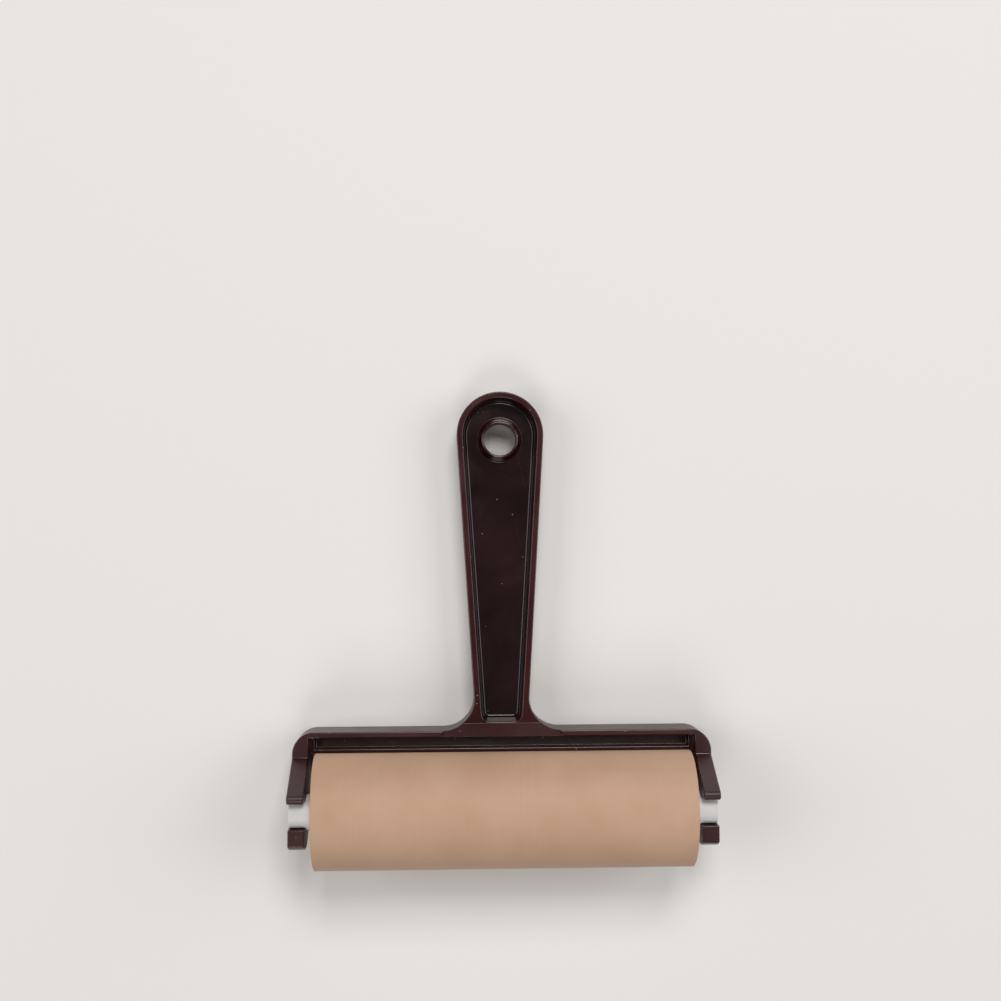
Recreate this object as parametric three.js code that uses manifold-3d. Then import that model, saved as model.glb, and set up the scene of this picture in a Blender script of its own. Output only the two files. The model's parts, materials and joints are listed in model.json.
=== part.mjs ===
// A soft rubber brayer: a rubber-covered roller whose axle snaps into the open slots of a one-piece plastic
// frame. Millimetres, +Z up. It lies on its back: +X along the roller, +Y towards the butt of the handle,
// +Z towards the open side of the slots. Everything is drawn about the roller's axis and then moved so that
// the origin is at the bottom centre of the whole brayer.
import * as THREE from "three";
import { mergeVertices } from "three/addons/utils/BufferGeometryUtils.js";
import Module from "manifold-3d";

const wasm = await Module();
wasm.setup();

// ---- roller ----
const rollerLength = 101.6;
const rollerRadius = 15.5;
const rubberThickness = 5.6;
const fitGap = 0.3; // between pieces that touch on the real brayer
const tubeWall = 2;
const tubeEndInset = 1.2; // how far the tube stops short of the rubber's end
const flangeThickness = 0.9;
const plugLength = 11;
const plugLeadIn = { length: 2, depth: 0.6 }; // the chamfer that guides a plug into the tube

// ---- axle: a steel rod with a plastic block on each end ----
const axleRadius = 2.4;
const axleEndInset = 0.5; // from the outside of the frame to the end of the rod
const axleEndChamfer = 0.4;
const blockRadius = 4.75;
const keyHalfWidth = 3.45; // half the distance across the flats that sit in a slot
const blockEndInset = 0.2;
const rollerFacets = 48;
const boreFacets = 32;

// ---- frame ----
const frameWidth = 115.4;
const armThickness = 4.5;
const backPlane = -20.7; // the plane that the brayer lies on, seen from the roller's axis
const slotHalfWidth = 3.65;
const slotLean = 0.0873; // radians from +Z towards -Y, the way that the slots open
const armEndRadius = 9.9;
const lowerJawFront = 5;
const upperJawTipRadius = 1.3;
const upperJawTipZ = 6.6; // centre of the rounded tip
const upperJawFoot = 13.4; // where the upper jaw's sloping front edge leaves the crossbar
const upperJawSlope = 0.505; // the angle at which that edge meets the rounded tip, in radians
const heelStart = 4.5;

const crossbarTop = 20.4;
const crossbarBottom = 14.2;
const crossbarFront = -7;
const crossbarCornerRadius = 6;
const lowerFlangeFront = -9; // set back to clear the roller
const crossbarRim = 1.65;
const lowerFlangeTop = 15.6;
const crossbarPocketDepth = 5;

const handleFront = -10;
const buttRadius = 12.1;
const buttCentre = 102.2;
const sideTaper = 0.061; // half-width gained per mm towards the butt
const neckFilletRadius = 8.6;
const rampTop = 22.15; // where the handle's front starts to bend forward
const rampOverhang = 0.2; // how far the ramp runs past the neck on each side
const handleRim = 1.7;
const recessFoot = 22.6;
const recessDepth = 6;
const recessDraft = 1.1;
const backRecessDepth = 2.5;
const backRecessDraft = 0.5;
const hangHoleCentre = 101.1;
const hangHoleRadius = 4.5;
const hangHoleBossRadius = 6.4;
const hangHoleBossTip = 5.15;
const hangHoleBossHeight = 3.5;

const reach = 60; // longer than any piece is deep or wide, for cutters that run right through
const overshoot = 1; // how far a cutter passes the face it starts from, or a boss starts below its floor
const curveSteps = 20;

// ---- shaping helpers ----

// A closed geometry as a solid that can be joined and cut.
function solid(geometry) {
  const bare = geometry.clone();
  bare.deleteAttribute("normal");
  bare.deleteAttribute("uv");
  const merged = mergeVertices(bare, 1e-4);
  return new wasm.Manifold(
    new wasm.Mesh({
      numProp: 3,
      vertProperties: new Float32Array(merged.attributes.position.array),
      triVerts: new Uint32Array(merged.index.array),
    }),
  );
}

// A solid back as a geometry with flat faces.
function geometryOf(body) {
  const mesh = body.getMesh();
  const indexed = new THREE.BufferGeometry();
  indexed.setAttribute("position", new THREE.BufferAttribute(mesh.vertProperties, 3));
  indexed.setIndex(new THREE.BufferAttribute(mesh.triVerts, 1));
  const flat = indexed.toNonIndexed();
  flat.computeVertexNormals();
  return flat;
}

// An outline in the XY plane, extruded from z = low to z = high.
function extrudeUp(outline, low, high) {
  const geometry = new THREE.ExtrudeGeometry(outline, {
    depth: high - low,
    bevelEnabled: false,
    curveSegments: curveSteps,
  });
  return geometry.translate(0, 0, low);
}

// An outline drawn in the YZ plane, extruded from x = left to x = right.
function extrudeAcross(outline, left, right) {
  const geometry = extrudeUp(outline, left, right);
  const sideways = new THREE.Matrix4().makeBasis(
    new THREE.Vector3(0, 1, 0),
    new THREE.Vector3(0, 0, 1),
    new THREE.Vector3(1, 0, 0),
  );
  return geometry.applyMatrix4(sideways);
}

// A profile of [radius, x] points turned round the roller's axis.
function turned(profile, facets) {
  const points = profile.map(([radius, x]) => new THREE.Vector2(radius, x));
  const alongX = new THREE.Matrix4().makeBasis(
    new THREE.Vector3(0, 1, 0),
    new THREE.Vector3(1, 0, 0),
    new THREE.Vector3(0, 0, -1),
  );
  return new THREE.LatheGeometry(points, facets).applyMatrix4(alongX);
}

// A ring of rectangular section round the roller's axis.
function ring(inner, outer, left, right, facets) {
  return turned([[inner, left], [outer, left], [outer, right], [inner, right], [inner, left]], facets);
}

function polygon(points) {
  return new THREE.Shape(points.map(([a, b]) => new THREE.Vector2(a, b)));
}

function block(low, high) {
  const size = high.map((value, i) => value - low[i]);
  const middle = high.map((value, i) => (value + low[i]) / 2);
  return solid(new THREE.BoxGeometry(...size).translate(...middle));
}

// ---- frame outlines ----

// Half the handle's width at y, set in by inset; the sides run straight into the round butt.
const sideAngle = Math.atan(sideTaper);

function sideAt(y, inset) {
  return (buttRadius - inset) / Math.cos(sideAngle) + sideTaper * (y - buttCentre);
}

// How far the centre of each neck fillet stands from the middle.
function neckFilletCentre() {
  return sideAt(crossbarTop + neckFilletRadius, 0) + neckFilletRadius / Math.cos(sideAngle);
}

// The handle from inside the crossbar up to its butt, flared into the crossbar by a fillet on each side.
function handleOutline() {
  const filletX = neckFilletCentre();
  const filletY = crossbarTop + neckFilletRadius;
  const shape = new THREE.Shape();
  shape.moveTo(-filletX, lowerFlangeTop);
  shape.lineTo(filletX, lowerFlangeTop);
  shape.lineTo(filletX, crossbarTop);
  shape.absarc(filletX, filletY, neckFilletRadius, -Math.PI / 2, -Math.PI - sideAngle, true);
  shape.absarc(0, buttCentre, buttRadius, -sideAngle, Math.PI + sideAngle, false);
  shape.absarc(-filletX, filletY, neckFilletRadius, sideAngle, -Math.PI / 2, true);
  return shape;
}

// The hollow in a face of the handle, with its rim left standing.
function recessOutline() {
  const foot = sideAt(recessFoot, handleRim);
  const shape = new THREE.Shape();
  shape.moveTo(-foot, recessFoot);
  shape.lineTo(foot, recessFoot);
  shape.absarc(0, buttCentre, buttRadius - handleRim, -sideAngle, Math.PI + sideAngle, false);
  shape.lineTo(-foot, recessFoot);
  return shape;
}

// A cutter for that hollow: full size at the face, drawn in by draft at its floor.
function recessCutter(depth, draft) {
  return new THREE.ExtrudeGeometry(recessOutline(), {
    depth: overshoot,
    bevelThickness: depth,
    bevelSize: draft,
    bevelOffset: -draft,
    bevelSegments: 1,
    curveSegments: curveSteps,
  });
}

// A point in Y and Z, given across a slot (towards +Y) and out of it.
function inSlot(across, out) {
  return new THREE.Vector2(across, out).rotateAround(new THREE.Vector2(), slotLean);
}

// The point on a line that runs out of a slot, at a given height z.
function alongSlot(across, z) {
  return inSlot(across, (z - across * Math.sin(slotLean)) / Math.cos(slotLean));
}

// One arm seen from the side, in Y and Z about the roller's axis: a disc round the axle, two jaws whose
// mouth opens forward, and a plate that runs back to the heel that the brayer rests on.
function armOutline() {
  const heelDistance = Math.hypot(heelStart, backPlane);
  const heelAngle = Math.atan2(backPlane, heelStart);
  const tangentAngle = heelAngle - Math.acos(armEndRadius / heelDistance);
  const lowerJawAngle = Math.PI - Math.asin(lowerJawFront / armEndRadius);
  const tip = alongSlot(slotHalfWidth + upperJawTipRadius, upperJawTipZ);
  const upperWall = inSlot(slotHalfWidth, 0);
  const lowerLip = alongSlot(-slotHalfWidth, lowerJawFront);
  const shape = new THREE.Shape();
  shape.moveTo(heelStart, backPlane);
  shape.lineTo(crossbarTop, backPlane);
  shape.lineTo(crossbarTop, crossbarFront);
  shape.lineTo(upperJawFoot, crossbarFront);
  shape.absarc(tip.x, tip.y, upperJawTipRadius, upperJawSlope, Math.PI + slotLean, false);
  shape.lineTo(upperWall.x, upperWall.y);
  shape.absarc(0, 0, slotHalfWidth, slotLean, slotLean - Math.PI, true);
  shape.lineTo(lowerLip.x, lowerLip.y);
  shape.absarc(0, 0, armEndRadius, lowerJawAngle, 2 * Math.PI + tangentAngle, false);
  shape.lineTo(heelStart, backPlane);
  return shape;
}

// The key of an axle block seen from the side: round below to fit the slot's bottom, flat on both sides,
// and full round on top.
function keyOutline() {
  const flatTop = Math.sqrt(blockRadius ** 2 - keyHalfWidth ** 2);
  const flatAngle = Math.atan2(flatTop, keyHalfWidth);
  const rightTop = inSlot(keyHalfWidth, flatTop);
  const leftSide = inSlot(-keyHalfWidth, 0);
  const shape = new THREE.Shape();
  shape.moveTo(leftSide.x, leftSide.y);
  shape.absarc(0, 0, keyHalfWidth, slotLean + Math.PI, slotLean + 2 * Math.PI, false);
  shape.lineTo(rightTop.x, rightTop.y);
  shape.absarc(0, 0, blockRadius, slotLean + flatAngle, slotLean + Math.PI - flatAngle, false);
  shape.lineTo(leftSide.x, leftSide.y);
  return shape;
}

// The frame's width with its two rounded upper corners, as an XY outline that trims crossbar and arms.
function crossbarOutline() {
  const half = frameWidth / 2;
  const cornerX = half - crossbarCornerRadius;
  const cornerY = crossbarTop - crossbarCornerRadius;
  const shape = new THREE.Shape();
  shape.moveTo(-half, -rollerRadius);
  shape.lineTo(half, -rollerRadius);
  shape.absarc(cornerX, cornerY, crossbarCornerRadius, 0, Math.PI / 2, false);
  shape.absarc(-cornerX, cornerY, crossbarCornerRadius, Math.PI / 2, Math.PI, false);
  shape.lineTo(-half, -rollerRadius);
  return shape;
}

// ---- the frame, one moulding ----
function makeFrame() {
  const half = frameWidth / 2;
  const armInner = half - armThickness;

  const crossbar = block([-half, crossbarBottom, backPlane], [half, crossbarTop, crossbarFront]);
  const rightArm = solid(extrudeAcross(armOutline(), armInner, half));
  const leftArm = solid(extrudeAcross(armOutline(), -half, -armInner));
  const trim = solid(extrudeUp(crossbarOutline(), backPlane - overshoot, reach));
  let frame = crossbar.add(rightArm).add(leftArm).intersect(trim);

  // The handle joins the crossbar, and one cut planes its front down to the ramp and the lower face.
  const rampFoot = crossbarTop - crossbarRim;
  const cutEnd = buttCentre + reach;
  const frontCut = polygon([
    [rampFoot, crossbarFront],
    [rampTop, handleFront],
    [cutEnd, handleFront],
    [cutEnd, reach],
    [rampFoot, reach],
  ]);
  const cutHalf = neckFilletCentre() + rampOverhang;
  frame = frame
    .add(solid(extrudeUp(handleOutline(), backPlane, crossbarFront)))
    .subtract(solid(extrudeAcross(frontCut, -cutHalf, cutHalf)));

  // The long pocket in the front of the crossbar, and its lower flange set back from the roller.
  frame = frame.subtract(
    block([-armInner, crossbarBottom - overshoot, lowerFlangeFront], [armInner, rampFoot, reach]),
  );
  frame = frame.subtract(
    block(
      [-armInner + crossbarRim, lowerFlangeTop, crossbarFront - crossbarPocketDepth],
      [armInner - crossbarRim, rampFoot, lowerFlangeFront + overshoot],
    ),
  );

  // The hollows in the front and back of the handle leave an I section with a web.
  const frontCutter = recessCutter(recessDepth, recessDraft).translate(0, 0, handleFront);
  frame = frame.subtract(solid(frontCutter));
  const backCutter = recessCutter(backRecessDepth, backRecessDraft)
    .rotateY(Math.PI)
    .translate(0, 0, backPlane);
  frame = frame.subtract(solid(backCutter));

  // The hang hole, with a low tapered boss round it.
  const floor = handleFront - recessDepth;
  const boss = new THREE.CylinderGeometry(
    hangHoleBossTip,
    hangHoleBossRadius,
    hangHoleBossHeight + overshoot,
    2 * curveSteps,
  );
  boss.rotateX(Math.PI / 2).translate(0, hangHoleCentre, floor + (hangHoleBossHeight - overshoot) / 2);
  frame = frame.add(solid(boss));
  const hole = new THREE.CylinderGeometry(hangHoleRadius, hangHoleRadius, reach, 2 * curveSteps);
  frame = frame.subtract(solid(hole.rotateX(Math.PI / 2).translate(0, hangHoleCentre, 0)));
  return geometryOf(frame);
}

// ---- the roller's pieces ----
function makeSleeve() {
  const half = rollerLength / 2;
  return ring(rollerRadius - rubberThickness, rollerRadius, -half, half, rollerFacets);
}

const tubeOuter = rollerRadius - rubberThickness - fitGap;
const tubeInner = tubeOuter - tubeWall;
const tubeEnd = rollerLength / 2 - tubeEndInset;

function makeTube() {
  return ring(tubeInner, tubeOuter, -tubeEnd, tubeEnd, rollerFacets);
}

// A hub: its flange lies in the end of the rubber and its plug in the tube. The bore's facets clear the axle.
function makeHub() {
  const flangeIn = tubeEnd + fitGap;
  const flangeOut = flangeIn + flangeThickness;
  const bore = (axleRadius + fitGap) / Math.cos(Math.PI / boreFacets);
  const plugRadius = tubeInner - fitGap;
  const flangeRadius = tubeOuter - fitGap / 2;
  return turned(
    [
      [bore, flangeIn - plugLength],
      [plugRadius - plugLeadIn.depth, flangeIn - plugLength],
      [plugRadius, flangeIn - plugLength + plugLeadIn.length],
      [plugRadius, flangeIn],
      [flangeRadius, flangeIn],
      [flangeRadius, flangeOut],
      [bore, flangeOut],
      [bore, flangeIn - plugLength],
    ],
    rollerFacets,
  );
}

function makeAxle() {
  const end = frameWidth / 2 - axleEndInset;
  return turned(
    [
      [0, -end],
      [axleRadius - axleEndChamfer, -end],
      [axleRadius, -end + axleEndChamfer],
      [axleRadius, end - axleEndChamfer],
      [axleRadius - axleEndChamfer, end],
      [0, end],
    ],
    boreFacets,
  );
}

// An axle block for the right-hand end: a round shoulder between roller and arm, then the key in the slot.
function makeAxleBlock() {
  const armInner = frameWidth / 2 - armThickness;
  const shoulderIn = rollerLength / 2 + fitGap;
  const shoulderOut = armInner - fitGap;
  const end = frameWidth / 2 - blockEndInset;
  const bore = (axleRadius + fitGap) / Math.cos(Math.PI / boreFacets);
  const shoulder = solid(turned(
    [[0, shoulderIn], [blockRadius, shoulderIn], [blockRadius, shoulderOut], [0, shoulderOut]],
    rollerFacets,
  ));
  const key = solid(extrudeAcross(keyOutline(), shoulderOut - overshoot, end));
  const rodHole = solid(turned([[0, 0], [bore, 0], [bore, reach], [0, reach]], boreFacets));
  return geometryOf(shoulder.add(key).subtract(rodHole));
}

// ---- materials ----
const oxbloodPlastic = new THREE.MeshStandardMaterial({ color: 0x3d1718, roughness: 0.28, metalness: 0 });
const tanRubber = new THREE.MeshStandardMaterial({ color: 0xc8a388, roughness: 0.7, metalness: 0 });
const whiteNylon = new THREE.MeshStandardMaterial({ color: 0xe4e4e2, roughness: 0.45, metalness: 0 });
const greyTube = new THREE.MeshStandardMaterial({ color: 0xb9b7b2, roughness: 0.5, metalness: 0 });
const platedSteel = new THREE.MeshStandardMaterial({ color: 0xb4b6b8, roughness: 0.3, metalness: 1 });

function piece(name, geometry, material) {
  const mesh = new THREE.Mesh(geometry, material);
  mesh.name = name;
  return mesh;
}

// The left-hand copy of a round end piece is the right-hand one turned half round.
function onLeft(mesh) {
  mesh.rotation.z = Math.PI;
  return mesh;
}

// The mirror image in X of a piece that isn't the same when it is turned round.
function mirrored(geometry) {
  const flipped = solid(geometry).mirror([1, 0, 0]);
  return geometryOf(flipped);
}

// ---- the brayer ----
const roller = new THREE.Group();
roller.add(piece("rubber_sleeve", makeSleeve(), tanRubber));
roller.add(piece("core_tube", makeTube(), greyTube));
roller.add(piece("right_hub", makeHub(), whiteNylon));
roller.add(onLeft(piece("left_hub", makeHub(), whiteNylon)));

const axleSet = new THREE.Group();
axleSet.add(piece("axle", makeAxle(), platedSteel));
axleSet.add(piece("right_axle_block", makeAxleBlock(), whiteNylon));
axleSet.add(piece("left_axle_block", mirrored(makeAxleBlock()), whiteNylon));

const group = new THREE.Group();
group.add(piece("frame", makeFrame(), oxbloodPlastic));
group.add(axleSet);
group.add(roller);
const buttTop = buttCentre + buttRadius;
group.position.set(0, (rollerRadius - buttTop) / 2, -backPlane);

export default group;
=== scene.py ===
import json
import math

import bpy
from mathutils import Matrix, Vector


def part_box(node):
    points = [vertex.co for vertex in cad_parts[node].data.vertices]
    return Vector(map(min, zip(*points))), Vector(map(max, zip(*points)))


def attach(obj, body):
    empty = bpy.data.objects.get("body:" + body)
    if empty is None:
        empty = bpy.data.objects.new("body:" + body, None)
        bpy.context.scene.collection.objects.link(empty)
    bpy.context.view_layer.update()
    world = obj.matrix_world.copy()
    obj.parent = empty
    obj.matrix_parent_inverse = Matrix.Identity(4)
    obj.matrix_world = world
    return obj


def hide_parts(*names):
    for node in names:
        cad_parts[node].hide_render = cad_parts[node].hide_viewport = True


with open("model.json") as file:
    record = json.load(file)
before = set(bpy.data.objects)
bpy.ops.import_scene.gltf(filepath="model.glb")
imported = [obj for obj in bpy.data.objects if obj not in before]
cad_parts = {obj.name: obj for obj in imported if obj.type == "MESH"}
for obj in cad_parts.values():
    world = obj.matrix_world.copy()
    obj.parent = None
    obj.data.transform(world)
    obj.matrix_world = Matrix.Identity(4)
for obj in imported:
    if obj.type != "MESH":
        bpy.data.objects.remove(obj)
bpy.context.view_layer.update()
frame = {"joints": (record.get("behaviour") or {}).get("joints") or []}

# The brayer lies on its back: X along the roller, Y up the handle, Z out of the slots.
# Pieces are drawn in millimetres about the middle of the roller and placed in metres.
mm = 0.001
spinJoint = next(joint for joint in frame["joints"] if joint["name"] == "roller_spin")
axis = Vector(spinJoint["pos_m"])
alongRoller = (1, 0, 0)
upwards = (0, 0, 1)
finestDegrees = 4  # an arc's steps are no finer than this
finestLength = 0.3  # nor shorter than this in millimetres
fewestSteps = 4  # but there are at least this many
past = 1  # millimetres that a cutting tool runs on past what it cuts, or a few times that

frameLow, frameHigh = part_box("frame")
sleeveLow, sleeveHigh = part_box("rubber_sleeve")
axleLow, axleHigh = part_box("axle")

halfWidth = (frameHigh.x - frameLow.x) / 2 / mm  # outside of the arms
backZ = (frameLow.z - axis.z) / mm  # the plane that the brayer lies on
buttY = (frameHigh.y - axis.y) / mm  # top of the handle
rollerRadius = (sleeveHigh.z - axis.z) / mm
rollerHalf = (sleeveHigh.x - sleeveLow.x) / 2 / mm
axleRadius = (axleHigh.z - axleLow.z) / 2 / mm
axleHalf = (axleHigh.x - axleLow.x) / 2 / mm

# Points closer together than these, in millimetres, are merged.
weld = {"line": 0.002, "cut": 0.003, "turned": 0.004, "frame": 0.01}


def at(x, y, z):
    return axis + Vector((x, y, z)) * mm


def deselectAll():
    if bpy.context.object and bpy.context.object.mode == "EDIT":
        bpy.ops.object.mode_set(mode="OBJECT")
    bpy.ops.object.select_all(action="DESELECT")


def takeOnly(piece):
    deselectAll()
    piece.select_set(True)
    bpy.context.view_layer.objects.active = piece


def mergeClose(distance):
    bpy.ops.mesh.select_all(action="SELECT")
    bpy.ops.mesh.remove_doubles(threshold=distance * mm)


# A line drawn point by point from one vertex. A stroke is a point to go to, or (centre, degrees) for an arc.
def drawLine(name, start, strokes, normal):
    deselectAll()
    bpy.ops.mesh.primitive_plane_add(size=mm, location=(0, 0, 0))
    piece = bpy.context.object
    piece.name = name
    bpy.ops.object.mode_set(mode="EDIT")
    bpy.ops.mesh.select_mode(type="VERT")
    bpy.ops.mesh.merge(type="CENTER")
    here = at(*start)
    bpy.ops.transform.translate(value=here)
    for stroke in strokes:
        if len(stroke) == 2:
            centre, degrees = at(*stroke[0]), stroke[1]
            length = math.radians(abs(degrees)) * (here - centre).length / mm
            steps = min(round(abs(degrees) / finestDegrees), round(length / finestLength))
            # spin turns the other way round from the right-hand rule
            bpy.ops.mesh.spin(steps=max(fewestSteps, steps), angle=-math.radians(degrees),
                              center=centre, axis=normal)
            here = centre + Matrix.Rotation(math.radians(degrees), 3, normal) @ (here - centre)
        else:
            bpy.ops.mesh.extrude_vertices_move(TRANSFORM_OT_translate={"value": at(*stroke) - here})
            here = at(*stroke)
    mergeClose(weld["line"])
    return piece


# A closed outline filled and pulled out into a solid.
def pullOut(x=0, y=0, z=0):
    bpy.ops.mesh.select_all(action="SELECT")
    bpy.ops.mesh.edge_face_add()
    bpy.ops.mesh.extrude_region_move(TRANSFORM_OT_translate={"value": Vector((x, y, z)) * mm})


def closeUp(piece):
    bpy.ops.mesh.select_all(action="SELECT")
    bpy.ops.mesh.normals_make_consistent(inside=False)
    bpy.ops.object.mode_set(mode="OBJECT")
    return piece


def makeBlock(name, low, high):
    deselectAll()
    size = [(b - a) * mm for a, b in zip(low, high)]
    middle = at(*[(a + b) / 2 for a, b in zip(low, high)])
    bpy.ops.mesh.primitive_cube_add(size=1, location=middle, scale=size)
    piece = bpy.context.object
    piece.name = name
    bpy.ops.object.transform_apply(location=True, rotation=True, scale=True)
    return piece


# A cylinder between two places that differ along X or along Z only.
def makeRound(name, radius, start, end, steps):
    deselectAll()
    length = max(b - a for a, b in zip(start, end))
    middle = at(*[(a + b) / 2 for a, b in zip(start, end)])
    turn = (0, math.pi / 2, 0) if end[0] > start[0] else (0, 0, 0)
    bpy.ops.mesh.primitive_cylinder_add(vertices=steps, radius=radius * mm, depth=length * mm,
                                        location=middle, rotation=turn)
    piece = bpy.context.object
    piece.name = name
    bpy.ops.object.transform_apply(location=True, rotation=True)
    return piece


def useModifier(piece, kind, **settings):
    takeOnly(piece)
    modifier = piece.modifiers.new(kind.title(), kind)
    for key, value in settings.items():
        setattr(modifier, key, value)
    bpy.ops.object.modifier_apply(modifier=modifier.name)


# One solid joined to another, cut out of it or trimmed by it; the tool goes afterwards.
def combine(piece, tool, how):
    useModifier(piece, "BOOLEAN", object=tool, operation=how, solver="EXACT")
    bpy.data.objects.remove(tool, do_unlink=True)
    takeOnly(piece)
    bpy.ops.object.mode_set(mode="EDIT")
    mergeClose(weld["cut"])
    bpy.ops.object.mode_set(mode="OBJECT")


# Rounded edges with clean flats between them.
def roundEdges(piece, width, segments=3, angle=28, material=-1):
    useModifier(
        piece, "BEVEL", width=width * mm, segments=segments, limit_method="ANGLE",
        angle_limit=math.radians(angle), use_clamp_overlap=False, material=material,
    )


def smoothOff(piece, angle=32):
    takeOnly(piece)
    bpy.ops.object.shade_smooth_by_angle(angle=math.radians(angle))
    useModifier(piece, "WEIGHTED_NORMAL", mode="FACE_AREA", weight=60, keep_sharp=True)


# A profile of strokes in X and Y turned all the way round the roller's axis.
def turnPiece(name, start, strokes, steps):
    piece = drawLine(name, start, strokes, upwards)
    bpy.ops.mesh.spin(steps=steps, angle=2 * math.pi, center=axis, axis=alongRoller)
    mergeClose(weld["turned"])
    return closeUp(piece)


def copyPiece(piece, name):
    takeOnly(piece)
    bpy.ops.object.duplicate(linked=False)
    twin = bpy.context.object
    twin.name = name
    return twin


# A piece turned about the middle of the roller, inside its own mesh.
def turnAbout(piece, angle, letter):
    takeOnly(piece)
    bpy.ops.object.mode_set(mode="EDIT")
    bpy.ops.mesh.select_all(action="SELECT")
    bpy.ops.transform.rotate(value=angle, orient_axis=letter, center_override=axis)
    bpy.ops.object.mode_set(mode="OBJECT")


# An sRGB hex code as a linear colour.
def hexColour(code):
    parts = [int(code[i:i + 2], 16) / 255 for i in (0, 2, 4)]
    linear = [c / 12.92 if c <= 0.04045 else ((c + 0.055) / 1.055) ** 2.4 for c in parts]
    return (*linear, 1)


# Adds a node with its own settings, its input values and its links.
def addNode(tree, kind, settings=None, values=None, links=None):
    node = tree.nodes.new(kind)
    for key, value in (settings or {}).items():
        setattr(node, key, value)
    for key, value in (values or {}).items():
        node.inputs[key].default_value = value
    for key, source in (links or {}).items():
        tree.links.new(source, node.inputs[key])
    return node


def newMaterial(name, viewColour):
    material = bpy.data.materials.new(name)
    material.use_nodes = True
    material.node_tree.nodes.clear()
    material.diffuse_color = hexColour(viewColour)
    return material, material.node_tree


# Sets a colour ramp's stops, each a place and a colour.
def setRamp(node, stops):
    ramp = node.color_ramp
    while len(ramp.elements) < len(stops):
        ramp.elements.new(0.5)
    for element, (place, colour) in zip(ramp.elements, stops):
        element.position = place
        element.color = colour
    return node


def grey(value):
    return (value, value, value, 1)


noiseLow, noiseHigh = 0.3, 0.7  # nearly all of a noise pattern's values lie between these


# High-impact polystyrene, injection moulded in a polished steel tool: deep oxblood, glossy, with the faint
# ripple of a moulded skin, cloudy flow marks in the gloss, fine handling scratches and a few specks of dust.
# Its finishes are lit and shaded copies of one plastic: the rim and edges lighter and redder as a painted
# highlight, the ramp, the fronts of the arms and crossbar and the sides satin and lighter as painted light,
# and the rest glossy and darkest as painted shade.
styreneLook = {
    # each finish: its colour, its colour in the flow marks, and its roughness from and to
    # gloss: the darkest copy, painted shade for the hollows and the faces set back
    "gloss": ("260d0e", "1c0809", 0.13, 0.24),
    # edge: lighter and redder, a painted highlight along the rim and the rounded edges
    "edge": ("391110", "310f0e", 0.18, 0.27),
    # satin: lighter, painted light where the ramp and the fronts of the arms catch the lamps
    "satin": ("3a1412", "331110", 0.36, 0.46),
    "rippleMm": 2.2,
    "rippleDepthMm": 0.012,
    "flowMm": 16,
    "flowStops": (0.36, 0.62),  # of the flow pattern, from all flow mark to none
    "glossStops": (0.35, 0.65),  # and from the lowest roughness to the highest
    "skinMm": 0.35,
    "skinDepthMm": 0.006,
    "scratchMm": (0.5, 30, 8),  # between scratches, along one, and through the wall
    "scratchTurn": 0.22,  # radians from straight along the handle
    "scratchStops": (0.66, 0.74),
    "scratchRoughness": 0.12,  # added in a scratch
    "dustColour": "8c7f78",
    "dustMm": 2.4,  # from one speck to the next
    "dustStops": (0.055, 0.08),  # a speck's middle and rim, as shares of that
    "dustShare": 0.55,  # of the places that hold no speck
    "ior": 1.59,
}


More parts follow.
